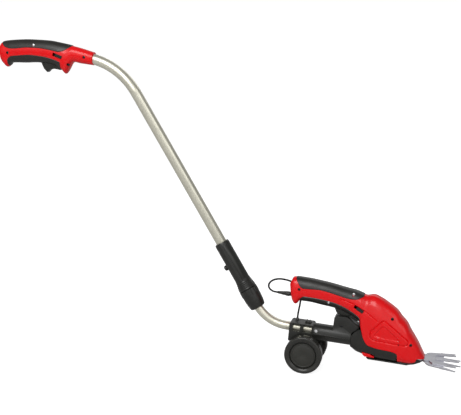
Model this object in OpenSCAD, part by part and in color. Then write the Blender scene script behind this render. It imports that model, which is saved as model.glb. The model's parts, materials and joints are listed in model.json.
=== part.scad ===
// Cordless grass shears docked on a wheeled telescopic pole, in millimetres.
// Row frame: +X runs forward along the blades, +Z up, and y = 0 is the plane of symmetry.
// The origin is the middle of the upper hand grip, where the user holds the tool.
// "Wheel frame" below means x from the wheel axle and z from the ground under the wheels.

/* [Stance] */
// Distance from the hand grip forward to the wheel axle
axle_x = 625; // [615:1:635]
// Height of the hand grip above the ground
grip_height = 585; // [578:1:592]

/* [Pole] */
// Outer diameter of the upper tube
upper_tube_d = 22; // [22:0.5:22.5]
// Outer diameter of the lower tube, which slides inside the upper one
lower_tube_d = 18; // [17.5:0.5:18]
// Wall of both tubes
tube_wall = 1.1; // [1:0.1:1.2]
// Bend radius of the upper tube's centre line
upper_bend_r = 145; // [130:5:150]
// Bend radius of the lower tube's centre line
lower_bend_r = 80; // [70:5:82]
// Straight length of the lower tube that is housed when the pole is pushed in
housed_length = 330; // [310:5:340]

/* [Wheels] */
// Outer diameter of each wheel
wheel_d = 76; // [74:1:77]
// Width of each wheel
wheel_w = 20; // [18:1:21]
// Distance between the outer faces of the wheels
wheels_span = 93; // [92:1:96]
// Diameter of the axle
axle_d = 8; // [7:0.5:8]

/* [Blades] */
// Thickness of each blade
blade_t = 2.2; // [1.8:0.1:2.2]
// Height of the moving blade's top face above the ground
blade_top = 60; // [60:0.1:60.2]
// Sideways spacing of the tooth tips on one blade
tip_pitch = 32.5; // [31:0.5:33]
// Sideways spacing of the tooth roots on one blade
root_pitch = 27; // [26:0.5:28]

/* [Drive] */
// Gear module
gear_m = 0.8; // [0.8:0.01:0.82]
// Teeth on the motor pinion
pinion_teeth = 10; // [10:10]
// Teeth on the drive gear
gear_teeth = 50; // [50:50]
// Throw of the eccentric pin
throw = 5; // [4:0.5:5]

/* [Shell] */
// Wall of the moulded housings
wall = 2.4; // [2:0.1:2.6]
// Thickness of the soft grip layer
pad_t = 1.05; // [0.9:0.05:1.1]

/* [Hidden] */

$fn = 48;
running = 0.05;          // radial clearance of shafts, pins and sliding tubes
snug = 0.02;             // radial clearance of pieces that are pressed or screwed together
pad_gap = 0.32;          // between a soft pad and the shell under it
seam_gap = 0.1;          // between the two halves of a housing

// ---- smooth curves through key points -------------------------------------------------
// A curve is a list of [x, value]. Between its points the value follows a monotone cubic.

function rise(k, i) = (k[i + 1][1] - k[i][1]) / (k[i + 1][0] - k[i][0]);
function mean_rise(a, b) = a * b <= 0 ? 0 : 2 * a * b / (a + b);
function tangent(k, i) =
    i == 0 ? rise(k, 0)
    : i == len(k) - 1 ? rise(k, i - 1)
    : mean_rise(rise(k, i - 1), rise(k, i));
function span_at(k, x, i = 0) = (i >= len(k) - 2 || x < k[i + 1][0]) ? i : span_at(k, x, i + 1);
function curve(k, x) =
    let (i = span_at(k, x),
         w = k[i + 1][0] - k[i][0],
         t = min(1, max(0, (x - k[i][0]) / w)),
         m0 = tangent(k, i) * w,
         m1 = tangent(k, i + 1) * w,
         t2 = t * t,
         t3 = t2 * t)
    (2 * t3 - 3 * t2 + 1) * k[i][1] + (t3 - 2 * t2 + t) * m0
    + (3 * t2 - 2 * t3) * k[i + 1][1] + (t3 - t2) * m1;

// ---- lofted housings ------------------------------------------------------------------
// A form is [top curve, bottom curve, half-width curve, upper fullness, lower fullness].
// Its section at x is a superellipse. An angle of 0 is the top seam and 180 the bottom seam.

function power(v, n) = sign(v) * pow(abs(v), n);
function full(form, x, a) = a < 90 ? curve(form[3], x) : curve(form[4], x);
function point_on(form, x, a, inset) =
    let (top = curve(form[0], x),
         low = curve(form[1], x),
         n = full(form, x, a),
         half_w = max(1, curve(form[2], x) - inset),
         half_h = max(1, (top - low) / 2 - inset))
    [x, half_w * power(sin(a), 2 / n), (top + low) / 2 + half_h * power(cos(a), 2 / n)];
// The angle at which the section of the form reaches height z
function angle_of(form, x, z) =
    let (top = curve(form[0], x),
         low = curve(form[1], x),
         q = max(-1, min(1, (2 * z - top - low) / (top - low))),
         n = q > 0 ? curve(form[3], x) : curve(form[4], x))
    acos(power(q, n / 2));

// Half the width of the form at a height
function surface_y(form, x, z) = point_on(form, x, angle_of(form, x, z), 0)[1];

// Triangles between two neighbouring rings of points, each n long, starting at indexes a and b
function strip(a, b, n) = [
    for (i = [0 : n - 2]) each [[a + i, a + i + 1, b + i], [a + i + 1, b + i + 1, b + i]]
];
function backwards(f) = [for (i = [len(f) - 1 : -1 : 0]) f[i]];
function turned(faces, yes) = yes ? [for (f = faces) backwards(f)] : faces;
function run(first, n) = [for (i = [0 : n - 1]) first + i];

// A wall between two grids of points, outer[i][j] and inner[i][j], with i along the part
// and j round its section. Each end is closed across its section.
module skin(outer, inner, reverse) {
    rows = len(outer);
    n = len(outer[0]);
    shift = rows * n;
    e = shift - n;
    sides = [
        for (i = [0 : rows - 2]) let (a = i * n, b = a + n) each concat(
            strip(a, b, n),
            turned(strip(shift + a, shift + b, n), true),
            [[a, b, shift + a], [b, shift + b, shift + a]],
            [[a + n - 1, shift + a + n - 1, b + n - 1],
             [b + n - 1, shift + a + n - 1, shift + b + n - 1]]
        )
    ];
    start = [
        backwards(run(0, n)), run(shift, n),
        [0, shift, shift + n - 1], [0, shift + n - 1, n - 1]
    ];
    end = [
        run(e, n), backwards(run(shift + e, n)),
        [shift + e, e, e + n - 1], [shift + e, e + n - 1, shift + e + n - 1]
    ];
    polyhedron(
        concat([for (r = outer) each r], [for (r = inner) each r]),
        turned(concat(sides, start, end), reverse)
    );
}

// Stations with the two end ones moved inward by the wall
function pulled_in(stations, d) = [
    for (i = [0 : len(stations) - 1])
        i == 0 ? stations[0] + d : i == len(stations) - 1 ? stations[i] - d : stations[i]
];

// One side of a moulded shell, from the top seam down to the height curve `cut`.
// side is 1 for the left (+y) half and -1 for the right half.
module half_shell(form, stations, cut, side, rings = 14) {
    inside = pulled_in(stations, wall);
    function ring(x, x_edge, inset) =
        let (last_angle = angle_of(form, x_edge, curve(cut, x_edge)))
        [for (j = [0 : rings])
            let (p = point_on(form, x, last_angle * j / rings, inset))
            [p[0], side * max(seam_gap / 2, p[1]), p[2]]];
    skin(
        [for (x = stations) ring(x, x, 0)],
        [for (i = [0 : len(stations) - 1]) ring(inside[i], stations[i], wall)],
        side < 0
    );
}

// A layer over both sides of a form, between two depths below its surface. The height curve
// `edge` is its border: over = true keeps what is above the border, across the top seam.
module layer(form, stations, edge, over, outer_depth, inner_depth, end_wall = 0, rings = 14) {
    inside = pulled_in(stations, end_wall);
    function ring(x, x_edge, depth) =
        let (a = angle_of(form, x_edge, curve(edge, x_edge)),
             first = over ? -a : a,
             last = over ? a : 360 - a)
        [for (j = [0 : rings])
            let (b = first + (last - first) * j / rings,
                 right = b < 0 || b > 180,
                 p = point_on(form, x, b < 0 ? -b : b > 180 ? 360 - b : b, depth))
            [p[0], right ? -p[1] : p[1], p[2]]];
    skin(
        [for (x = stations) ring(x, x, outer_depth)],
        [for (i = [0 : len(stations) - 1]) ring(inside[i], stations[i], inner_depth)],
        false
    );
}
module pad(form, stations, edge, over) {
    layer(form, stations, edge, over, -pad_t - pad_gap, -pad_gap);
}

// ---- placing --------------------------------------------------------------------------

module on_wheels() { translate([axle_x, 0, -grip_height]) children(); }

// A profile in the side view, extruded from y0 to y1
module side_plate(y0, y1) {
    translate([0, y1, 0]) rotate([90, 0, 0]) linear_extrude(y1 - y0) children();
}
// A rod along y, from y0 to y1
module cross_rod(x, z, r, y0, y1) {
    translate([x, y0, z]) rotate([-90, 0, 0]) cylinder(h = y1 - y0, r = r);
}
// A rod along x, from x0 to x1
module long_rod(z, r, x0, x1, y = 0) {
    translate([x0, y, z]) rotate([0, 90, 0]) cylinder(h = x1 - x0, r = r);
}
module box(x0, x1, y0, y1, z0, z1) { translate([x0, y0, z0]) cube([x1 - x0, y1 - y0, z1 - z0]); }

// ---- pole geometry ----------------------------------------------------------------------
// The upper tube leaves the handle at handle_angle, bends at `upper_corner`, and runs straight
// down to `lower_corner`, where the lower tube bends to run level into the adapter.

handle_angle = -8.5;                                  // slope of the handle's socket
tube_z = 81;                                          // wheel frame height of the level tube
upper_corner = [190.5, -12.4];
lower_corner = [axle_x - 86, tube_z - grip_height];
pole_run = lower_corner - upper_corner;
pole_length = norm(pole_run);
pole_dir = pole_run / pole_length;
pole_angle = atan2(pole_dir[1], pole_dir[0]);         // about -55 degrees
pole_lean = atan2(-pole_dir[0], -pole_dir[1]);        // turn from +Z to the way up the pole
upper_r = upper_tube_d / 2;
lower_r = lower_tube_d / 2;
upper_in = upper_r - tube_wall;
lower_in = lower_r - tube_wall;
upper_end = 100;                                      // height up the pole of its lower end
level_end = 13;                                       // wheel frame x where the lower tube stops
socket_depth = 34;                                    // length of upper tube inside the handle
upper_cut = upper_bend_r * tan((handle_angle - pole_angle) / 2);
lower_cut = lower_bend_r * tan(-pole_angle / 2);

// Local frame with its origin at the lower corner and +Z up along the pole
module on_pole() {
    translate([lower_corner[0], 0, lower_corner[1]]) rotate([0, pole_lean, 0]) children();
}
function heading(a) = [cos(a), sin(a)];
// A straight rod from a point, in the direction of an angle in the side view
module rod(from, angle, length, r) {
    translate([from[0], 0, from[1]]) rotate([0, 90 - angle, 0]) cylinder(h = length, r = r);
}
// A bent rod about a centre in the side view, between two polar angles
module elbow(centre, bend_r, a0, a1, r) {
    translate([centre[0], 0, centre[1]]) rotate([90, 0, 0]) rotate([0, 0, a0])
        rotate_extrude(angle = a1 - a0, $fn = 96) translate([bend_r, 0]) circle(r);
}
// The straight lengths run a little way into the bend, which is a hair thicker
bend_lap = 1.5;
bend_step = 0.02;
module upper_rod(r, over) {
    t1 = upper_corner - heading(handle_angle) * upper_cut;
    t2 = upper_corner + pole_dir * upper_cut;
    centre = t1 + heading(handle_angle - 90) * upper_bend_r;
    socket = socket_depth + over;
    rod(t1 - heading(handle_angle) * socket, handle_angle, socket + bend_lap, r - bend_step);
    elbow(centre, upper_bend_r, pole_angle + 90, handle_angle + 90, r);
    rod(t2 - pole_dir * bend_lap, pole_angle,
        pole_length - upper_cut - upper_end + bend_lap + over, r - bend_step);
}
module lower_rod(r, over) {
    t1 = lower_corner - pole_dir * lower_cut;
    centre = t1 + heading(pole_angle + 90) * lower_bend_r;
    rod(t1 - pole_dir * (housed_length + over), pole_angle, housed_length + over + bend_lap, r);
    elbow(centre, lower_bend_r, pole_angle - 90, -90, r + bend_step);
    rod(lower_corner + [lower_cut - bend_lap, 0], 0,
        axle_x + level_end - lower_corner[0] - lower_cut + bend_lap + over, r);
}

// ---- small repeated parts -----------------------------------------------------------------

// A helical compression spring of round wire along +Z
module coil(r, wire, turns, h) {
    steps = turns * 9;
    sides = 5;
    points = [
        for (i = [0 : steps]) let (a = i * 40, z = wire / 2 + (h - wire) * i / steps)
            for (k = [0 : sides - 1]) let (q = k * 360 / sides, d = r + wire / 2 * cos(q))
                [d * cos(a), d * sin(a), z + wire / 2 * sin(q)]
    ];
    walls = [
        for (i = [0 : steps - 1]) for (k = [0 : sides - 1])
            let (a = i * sides + k, b = i * sides + (k + 1) % sides)
            each [[a, a + sides, b], [b, a + sides, b + sides]]
    ];
    polyhedron(
        points,
        concat(walls, [run(0, sides)], [backwards(run(steps * sides, sides))])
    );
}

// Screws join the halves of a housing. Each head sits in a recess in the right half, and its
// shank runs through a boss in each half, up to screw_reach past the seam.
screw_head_r = 3;
screw_r = 1.5;
screw_sink = 0.6;
screw_reach = 6;
boss_r = 3.6;
function seat_y(form, p) = -surface_y(form, p[0], p[1]) + screw_sink + 2;
// The length of a boss from the seam, which stays inside the surface all round it
function boss_h(form, p) =
    min(surface_y(form, p[0], p[1] - boss_r), surface_y(form, p[0], p[1] + boss_r)) - 0.5;
module side_screw(form, p, reach = screw_reach) {
    y0 = seat_y(form, p) - 2;
    cross_rod(p[0], p[1], screw_head_r, y0, y0 + 2);
    cross_rod(p[0], p[1], screw_r, y0 + 1, reach);
}
module screw_hole(form, p) {
    cross_rod(p[0], p[1], screw_head_r + snug, -40, seat_y(form, p));
    cross_rod(p[0], p[1], screw_r + snug, -40, screw_reach + 0.5);
}
module boss(form, p, side) {
    h = boss_h(form, p);
    cross_rod(p[0], p[1], boss_r, side < 0 ? -h : seam_gap / 2, side < 0 ? -seam_gap / 2 : h);
}

// A ribbed thumb slider on the right side of a housing, in its own level frame
slider_l = 15;
slider_w = 6;
slot_l = 21;
module thumb_slider(y_face) {
    box(-slider_l / 2 + 2.7, slider_l / 2 + 2.7, -y_face, -y_face + 5, -slider_w / 2, slider_w / 2);
    for (i = [0 : 4])
        translate([2.7 + (i - 2) * 2.6, -y_face, 0])
            cylinder(h = slider_w - 0.6, r = 0.7, center = true, $fn = 24);
}
module slider_slot() {
    box(-slot_l / 2, slot_l / 2, -40, 0, -slider_w / 2 - 0.3, slider_w / 2 + 0.3);
}

// ---- upper hand grip -------------------------------------------------------------------------

pole_top = [
    [-76, 5], [-74, 12], [-70, 15], [-45, 20], [-6, 24], [33, 25], [56, 23], [84, 19.5],
    [100, 17], [132, 10.5]
];
pole_low = [
    [-76, -1], [-74, -18], [-70, -26], [-65, -31], [-58, -36], [-54, -33], [-50, -25.5],
    [-17, -22.5], [16, -19.5], [44, -21.5], [58, -27], [65, -32], [73, -39], [78, -32],
    [86, -16], [92, -13], [103, -14.5], [132, -16]
];
pole_half = [[-76, 11], [-72, 15], [-60, 17], [50, 17.5], [73, 17], [88, 15], [132, 13.6]];
pole_form = [pole_top, pole_low, pole_half, [[-76, 2.4], [132, 2.2]], [[-76, 2.4], [132, 2.2]]];
pole_stations = [
    -76, -73, -70, -66, -62, -58, -54, -50, -40, -25, -10, 5, 20, 35, 48, 58, 65, 69, 73, 77,
    81, 86, 92, 98, 106, 115, 124, 132
];
pole_pad_edge = [
    [-69, 13.5], [-64, 8], [-57, 4], [-48, 3], [-9, 8], [16, 9], [42, 7], [60, 5], [70, 8],
    [79, 14], [84, 18]
];
pole_strip_edge = [
    [-55, -24], [-52, -16], [-45, -12], [-33, -10], [0, -6], [26, -7], [51, -11], [64, -15]
];
pole_screws = [[4, 14], [-53, -6], [81, -19], [115, -1]];   // the last two have no boss
pole_slider_at = [58, -3];
pole_slider_turn = 16;
trigger_half = 7;
pole_pivot = [59, -13];
pole_trigger_outline = [
    [19, -13], [19, -21], [25, -32], [33, -39], [38, -33], [46, -30.5], [54, -31], [62, -32],
    [64, -25], [64, -8], [53, -6], [25, -6.6]
];

module pole_cuts() {
    box(17.3, 65.5, -trigger_half - 0.6, trigger_half + 0.6, -45, -5);
    rod(upper_corner - heading(handle_angle) * (upper_cut + socket_depth + 1), handle_angle,
        60, upper_r + running);
    translate([pole_slider_at[0], 0, pole_slider_at[1]]) rotate([0, pole_slider_turn, 0])
        slider_slot();
    for (p = pole_screws) screw_hole(pole_form, p);
}
module pole_half_handle(side) {
    difference() {
        union() {
            half_shell(pole_form, pole_stations, pole_low, side);
            for (i = [0, 1]) boss(pole_form, pole_screws[i], side);
        }
        pole_cuts();
    }
}
module pole_handle_right() { color("crimson") pole_half_handle(-1); }
module pole_handle_left() { color("crimson") pole_half_handle(1); }
module pole_top_grip() {
    color("dimgray") difference() {
        pad(pole_form, [-69, -66, -62, -58, -54, -50, -40, -25, -10, 5, 20, 35, 48, 58, 65, 73,
            77, 81, 84], pole_pad_edge, true);
        screw_hole(pole_form, pole_screws[0]);
    }
}
module pole_lower_grip() {
    color("dimgray") difference() {
        pad(pole_form, [-54, -50, -40, -25, -10, 5, 20, 35, 48, 58, 64], pole_strip_edge, false);
        box(17.3, 65.5, -trigger_half - 0.6, trigger_half + 0.6, -45, -5);
    }
}
module pole_trigger() {
    color("dimgray") difference() {
        side_plate(-trigger_half, trigger_half) polygon(pole_trigger_outline);
        cross_rod(pole_pivot[0], pole_pivot[1], 2 + running, -10, 10);
    }
}
module pole_trigger_pin() {
    color("silver") cross_rod(pole_pivot[0], pole_pivot[1], 2, -11, 11);
}
module pole_trigger_spring() {
    color("silver") translate([46, 0, -5.9]) coil(2.2, 0.6, 4, 4.6);
}
module pole_switch() {
    color("black") {
        box(22, 52, -3.2, 3.2, -1, 9);
        box(24, 27, -1.5, 1.5, -2.7, -1);
    }
}
module pole_lock_slider() {
    color("dimgray") translate([pole_slider_at[0], 0, pole_slider_at[1]])
        rotate([0, pole_slider_turn, 0]) thumb_slider(18);
}
module pole_handle_screws() {
    color("silver") {
        for (i = [0, 1]) side_screw(pole_form, pole_screws[i]);
        side_screw(pole_form, pole_screws[2], 3);
        side_screw(pole_form, pole_screws[3], -upper_r - 0.3);
    }
}

// ---- pole ----------------------------------------------------------------------------------

module upper_tube() {
    color("wheat") difference() {
        upper_rod(upper_r, 0);
        upper_rod(upper_in, 1);
    }
}
module lower_tube() {
    color("wheat") difference() {
        lower_rod(lower_r, 0);
        lower_rod(lower_in, 1);
    }
}
module tube_guide_bush() {
    color("black") on_pole() translate([0, 0, lower_cut + housed_length - 18])
        difference() {
            cylinder(h = 16, r = upper_in - running);
            translate([0, 0, -1]) cylinder(h = 18, r = lower_r + snug);
        }
}

nut_high = 79.6;
knob_z = 138;                // the sleeve screw's height along the pole
module clamp_sleeve() {
    color("black") on_pole() difference() {
        union() {
            rotate_extrude() polygon([
                [upper_in, 64], [15, 64], [15, 80.4], [18.2, 80.4], [19.2, 82.5], [18.3, 84.3],
                [18.9, 86.3], [17.6, 88.2], [18.1, 90.2], [16.8, 92], [17.3, 94], [16.1, 95.8],
                [16.6, 97.8], [15.7, 99.5], [16, 101.5], [15.4, 104], [15.4, 186], [14.4, 189],
                [upper_in, 189]
            ]);
            translate([-16, 0, knob_z]) rotate([0, 90, 0]) cylinder(h = 4, r = 6);
            rotate([0, 0, -62]) box(13, 16.2, -4.5, 4.5, 103, 182);
        }
        translate([0, 0, upper_end - 0.2]) cylinder(h = 100, r = upper_r + snug);
        translate([0, 0, 60]) cylinder(h = 38, r = 13);
        translate([-20, 0, knob_z]) rotate([0, 90, 0]) cylinder(h = 9, r = 2.5 + snug);
    }
}
module sleeve_screw() {
    color("black") on_pole() translate([-16.1, 0, knob_z]) rotate([0, -90, 0])
        rotate_extrude() polygon([
            [0, -4.9], [2.5, -4.9], [2.5, 0], [5, 0], [5.6, 1], [5.6, 3.8], [4.2, 5.4], [0, 5.8]
        ]);
}
module clamp_nut() {
    color("black") on_pole() {
        rotate_extrude() polygon([
            [9.6, 36.5], [13.8, 36.5], [15.4, 37.3], [16.4, 40], [17.4, 46], [18.3, 54],
            [18.7, 62], [18.9, nut_high], [15.2, nut_high], [15.2, 63.5], [14.2, 62],
            [11.6, 50], [9.6, 48]
        ]);
        for (i = [0 : 11]) rotate([0, 0, i * 30]) translate([18.4, 0, 67])
            cylinder(h = 11.5, r = 1.2, $fn = 24);
    }
}
module clamp_collet() {
    color("dimgray") on_pole() difference() {
        rotate_extrude() polygon([
            [lower_r + running, 50.5], [10.6, 50.5], [12.8, 62], [12.8, 97.8],
            [lower_r + running, 97.8]
        ]);
        for (i = [0 : 2]) rotate([0, 0, i * 120 + 60]) box(7, 15, -0.8, 0.8, 49, 84);
    }
}

// ---- adapter and wheels (wheel frame) --------------------------------------------------------

block_outline = [
    [-37, 57], [-35, 55], [12, 55], [12, 92], [10, 94], [-34, 94], [-37, 91]
];
lug_outline = [
    [51, 80], [51, 97], [51.6, 116], [55.5, 120.5], [77, 120.5], [82, 118.5], [90, 112],
    [98, 107], [103, 104.2], [100, 99], [91, 92], [88, 88], [88, 80]
];
lug_core = [[54, 97], [54.5, 116], [57, 118], [76, 118], [88, 110], [92, 106], [86, 95], [84, 93]];
barrel_z = 78;
barrel_r = 17;
lug_half = 14;
gland_at = [-25, 8];
pin_at = [18, 83];
window_top = 92.5;           // the left rear window stops lower, under the gland
lug_screw_at = [68, 101];

module adapter_half(side) {
    on_wheels() difference() {
        intersection() {
            union() {
                side_plate(-17, 17) polygon(block_outline);
                long_rod(barrel_z, barrel_r, 11, 88);
                side_plate(-lug_half, lug_half) polygon(lug_outline);
            }
            box(-60, 140, side > 0 ? seam_gap / 2 : -30, side > 0 ? 30 : -seam_gap / 2, 0, 200);
        }
        long_rod(tube_z, lower_r + snug, -60, level_end + 0.5);
        long_rod(barrel_z, barrel_r - 3.2, 26, 85);
        side_plate(-lug_half + 2.6, lug_half - 2.6) polygon(lug_core);
        for (s = [-1, 1]) {
            box(-30, -15, min(s * 5, s * 20), max(s * 5, s * 20), 77, s < 0 ? window_top : 90);
            box(-8, 9, min(s * 5, s * 20), max(s * 5, s * 20), 77, window_top);
        }
        box(-4.4, 6.4, -2.4, 2.4, 89, 95);
        translate([gland_at[0], gland_at[1], 90.2]) cylinder(h = 10, r = 4 + snug);
        cross_rod(pin_at[0], pin_at[1], 3.8 + snug, -30, -13.9);
        cross_rod(pin_at[0], pin_at[1], 2 + snug, -30, 12);
        cross_rod(lug_screw_at[0], lug_screw_at[1], 2.6 + snug, -30, -11);
    }
}
module adapter_right() { color("dimgray") adapter_half(-1); }
module adapter_left() { color("dimgray") adapter_half(1); }
module adapter_screws() {
    color("silver") on_wheels() {
        cross_rod(pin_at[0], pin_at[1], 3.8, -17.4, -14);
        cross_rod(pin_at[0], pin_at[1], 2, -14, 11);
        cross_rod(lug_screw_at[0], lug_screw_at[1], 2.6, -13.6, -11.5);
        cross_rod(lug_screw_at[0], lug_screw_at[1], 1.4, -11.5, 8);
    }
}
module latch_slider() {
    color("dimgray") on_wheels() {
        box(-7, 5, -5.5, 5.5, 94.3, 96.2);
        box(-4, 2, -2, 2, 91, 94.3);
        for (x = [-4.2, 2.2]) cross_rod(x, 96.4, 2.4, -5.5, 5.5);
    }
}
module wheel_bracket() {
    color("dimgray") on_wheels() side_plate(-24, 24) difference() {
        union() {
            translate([0, wheel_d / 2]) circle(12);
            translate([-12, wheel_d / 2]) square([24, 54.8 - wheel_d / 2]);
        }
        translate([0, wheel_d / 2]) circle(axle_d / 2 + snug);
    }
}
axle_half = wheels_span / 2 - wheel_w + 13.4;
module wheel_axle() {
    color("silver") on_wheels() cross_rod(0, wheel_d / 2, axle_d / 2, -axle_half, axle_half);
}

// A wheel's own frame has z = 0 on its inner face and +Z outward
module at_wheel(side) {
    on_wheels() translate([0, side * (wheels_span / 2 - wheel_w), wheel_d / 2])
        rotate([-90 * side, 0, 0]) children();
}
module axle_clips() {
    color("silver") for (side = [-1, 1]) at_wheel(side) translate([0, 0, 11.3]) difference() {
        cylinder(h = 1, r = 7);
        translate([0, 0, -1]) cylinder(h = 3, r = axle_d / 2 + snug);
    }
}
tread_in = 27.5;
module rim() {
    rotate_extrude() polygon([
        [axle_d / 2 + running, 0], [9, 0], [10, 5], [24, 6], [24.4, 0], [tread_in - 0.1, 0],
        [tread_in - 0.1, 14], [24.4, 14], [24, 10], [9.5, 9.5], [9, 11],
        [axle_d / 2 + running, 11]
    ]);
}
module tyre() {
    corner = 3;
    ro = wheel_d / 2;
    rotate_extrude($fn = 96) union() {
        translate([tread_in, 0]) square([ro - corner - tread_in, wheel_w]);
        translate([ro - corner - 1, corner]) square([corner + 1, wheel_w - 2 * corner]);
        for (z = [corner, wheel_w - corner]) translate([ro - corner, z]) circle(corner);
    }
}
module cap() {
    rotate_extrude() polygon([
        [0, 14.4], [25.6, 14.4], [25.6, 17.6], [24.6, 18.6], [23, 18.8], [22.2, 18], [21.2, 18.4],
        [17, 19.2], [11, 19.7], [6, 19.5], [3, 19.1], [0, 19]
    ]);
}
module wheel_right_rim() { color("gray") at_wheel(-1) rim(); }
module wheel_left_rim() { color("gray") at_wheel(1) rim(); }
module wheel_right_tyre() { color("dimgray") at_wheel(-1) tyre(); }
module wheel_left_tyre() { color("dimgray") at_wheel(1) tyre(); }
module wheel_right_cap() { color("dimgray") at_wheel(-1) cap(); }
module wheel_left_cap() { color("dimgray") at_wheel(1) cap(); }

// ---- lead (wheel frame) --------------------------------------------------------------------

lead_d = 3.8;
lead_route = [
    [-25, 8, 98], [-25, 8, 104], [-24.7, 8.6, 110], [-24.3, 10.5, 116], [-24, 13.5, 122],
    [-24, 17.5, 128], [-24.6, 21, 134.5], [-26, 23.8, 141.5], [-28.5, 25, 149],
    [-32.5, 24.8, 156.5], [-38, 23, 163], [-45, 19.5, 168], [-53, 15.5, 171.3],
    [-61, 11.5, 173.3], [-69, 8, 174], [-76.5, 5, 173], [-83, 2.6, 170.2], [-87.6, 1, 165.6],
    [-89.5, 0.2, 160], [-88, 0, 154.6], [-84, 0, 150.8], [-79, 0, 148.6], [-74.5, 0, 148],
    [-70, 0, 148]
];
function unit(v) = v / norm(v);
module sweep(route, r, sides) {
    last = len(route) - 1;
    function ahead(i) = unit(route[min(last, i + 1)] - route[max(0, i - 1)]);
    points = [
        for (i = [0 : last])
            let (t = ahead(i), u = unit(cross(t, [0, 1, 0.001])), v = cross(t, u))
            for (k = [0 : sides - 1]) let (a = k * 360 / sides)
                route[i] + r * (cos(a) * u + sin(a) * v)
    ];
    walls = [
        for (i = [0 : last - 1]) for (k = [0 : sides - 1])
            let (a = i * sides + k, b = i * sides + (k + 1) % sides)
            each [[a, a + sides, b], [b, a + sides, b + sides]]
    ];
    polyhedron(points, concat(walls, [run(0, sides)], [backwards(run(last * sides, sides))]));
}
module lead() { color("black") on_wheels() sweep(lead_route, lead_d / 2, 8); }
module lead_gland() {
    color("black") on_wheels() translate([gland_at[0], gland_at[1], 0]) {
        translate([0, 0, 90.4]) cylinder(h = 3.8, r = 4);
        translate([0, 0, 94.2]) cylinder(h = 3.8, r1 = 3.8, r2 = 2.4);
    }
}
socket_z = 148;
module lead_plug() {
    color("black") on_wheels() translate([0, 0, socket_z]) rotate([0, 90, 0]) {
        translate([0, 0, -70]) cylinder(h = 18, r1 = 2.3, r2 = 4.4);
        translate([0, 0, -52]) cylinder(h = 7.4, r = 5);
        translate([0, 0, -44.6]) cylinder(h = 9, r = 2.7);
    }
}

// ---- shears housing (wheel frame) ---------------------------------------------------------------

shears_top = [
    [-44, 174], [-42, 182], [-39, 186], [-34, 186.5], [-7, 186], [19, 184], [34, 182.5],
    [71, 177], [90, 174.5], [104, 170.5], [112, 169.3], [119, 171.5], [125, 172.5], [139, 168],
    [157, 158.5], [175, 146.5], [182, 138], [196, 124.5], [203, 113], [214, 98], [222, 86.5],
    [229, 74.5], [233, 68], [235, 64.5]
];
shears_low = [
    [-44, 166], [-43, 156], [-40, 143], [-37, 135], [-31, 130], [-27, 132], [-22, 139.5],
    [-3, 140], [20, 138], [51, 135], [81, 126.5], [97, 118], [103, 112], [106, 88], [110, 60],
    [116, 49], [130, 46.5], [235, 46.5]
];
shears_half = [
    [-44, 10], [-42, 14], [-36, 17], [0, 17.5], [60, 18.5], [90, 21], [103, 23], [115, 26],
    [130, 29], [150, 31], [185, 31], [205, 29], [220, 25], [229, 21], [235, 16]
];
shears_upper_full = [[-44, 2.3], [100, 2.4], [150, 2.6], [235, 2.6]];
shears_lower_full = [[-44, 2.4], [100, 2.6], [112, 4], [130, 4.5], [235, 4.5]];
shears_form = [shears_top, shears_low, shears_half, shears_upper_full, shears_lower_full];
shears_stations = [
    -44, -41.3, -38.5, -35, -31, -27, -22, -17, -12, 4, 20, 36, 51, 66, 81, 90, 97, 103, 106, 109,
    112, 116, 120, 125, 132, 140, 150, 160, 170, 178, 182.8, 184.8, 192, 199, 206, 213, 218.5,
    221.5, 225, 229, 232, 235
];
// Lower edge of the red housing: the base and the sole plate fill what is below it
shears_cut = [
    [-44, 100], [102, 100], [103, 110], [106, 107], [109, 99], [112, 90], [116, 82.5], [120, 77.5],
    [125, 74], [146, 71], [169, 70], [182.8, 66], [184.8, 49], [205, 48.6], [218.5, 54],
    [221.5, 60.4], [235, 60.7]
];
shears_pad_edge = [
    [-33, 184], [-30, 180], [-24, 172], [-17, 167.5], [0, 168.5], [16, 169.5], [39, 167],
    [55, 164], [78, 160.5], [90, 161], [99, 164.5], [107, 168.5]
];
shears_strip_edge = [
    [-24, 142], [-20, 147], [-14, 151.5], [8, 152], [40, 149.5], [60, 145.5], [80, 138],
    [100, 127], [102, 125]
];
shears_screws = [[-24, 165], [85, 170], [37, 146.5], [166, 135], [207, 88]];
shears_slider_at = [98.5, 143.5];
shears_slider_turn = 28;
shears_pivot = [95, 128];
shears_trigger_half = 8;
shears_trigger_outline = [
    [41.5, 142.9], [41.5, 141.2], [50, 141.2], [50, 134], [54, 126], [62, 121.5], [77, 121.5],
    [84, 119.5], [92, 115], [98, 113.5], [101, 120], [101, 134], [92, 139], [70, 142], [50, 142.9]
];

module shears_cuts() {
    box(48.6, 102.6, -shears_trigger_half - 0.6, shears_trigger_half + 0.6, 100, 141);
    long_rod(socket_z, 4 + pad_gap, -60, -36);
    translate([shears_slider_at[0], 0, shears_slider_at[1]]) rotate([0, shears_slider_turn, 0])
        slider_slot();
    for (p = shears_screws) screw_hole(shears_form, p);
}
module shears_side_shell(side) {
    on_wheels() difference() {
        union() {
            half_shell(shears_form, shears_stations, shears_cut, side);
            for (p = shears_screws) boss(shears_form, p, side);
        }
        shears_cuts();
    }
}
module shears_right() { color("crimson") shears_side_shell(-1); }
module shears_left() { color("crimson") shears_side_shell(1); }
module shears_top_grip() {
    color("dimgray") on_wheels() difference() {
        pad(shears_form, [-33, -31, -27, -22, -17, -12, 4, 20, 36, 51, 66, 81, 90, 97, 103, 106],
            shears_pad_edge, true);
        screw_hole(shears_form, shears_screws[1]);
    }
}
module shears_lower_grip() {
    color("dimgray") on_wheels() difference() {
        pad(shears_form, [-22, -17, -12, 4, 20, 36, 51, 66, 81, 90, 97, 103], shears_strip_edge, false);
        box(48.6, 102.6, -shears_trigger_half - 0.6, shears_trigger_half + 0.6, 100, 141);
        screw_hole(shears_form, shears_screws[2]);
    }
}
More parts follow.
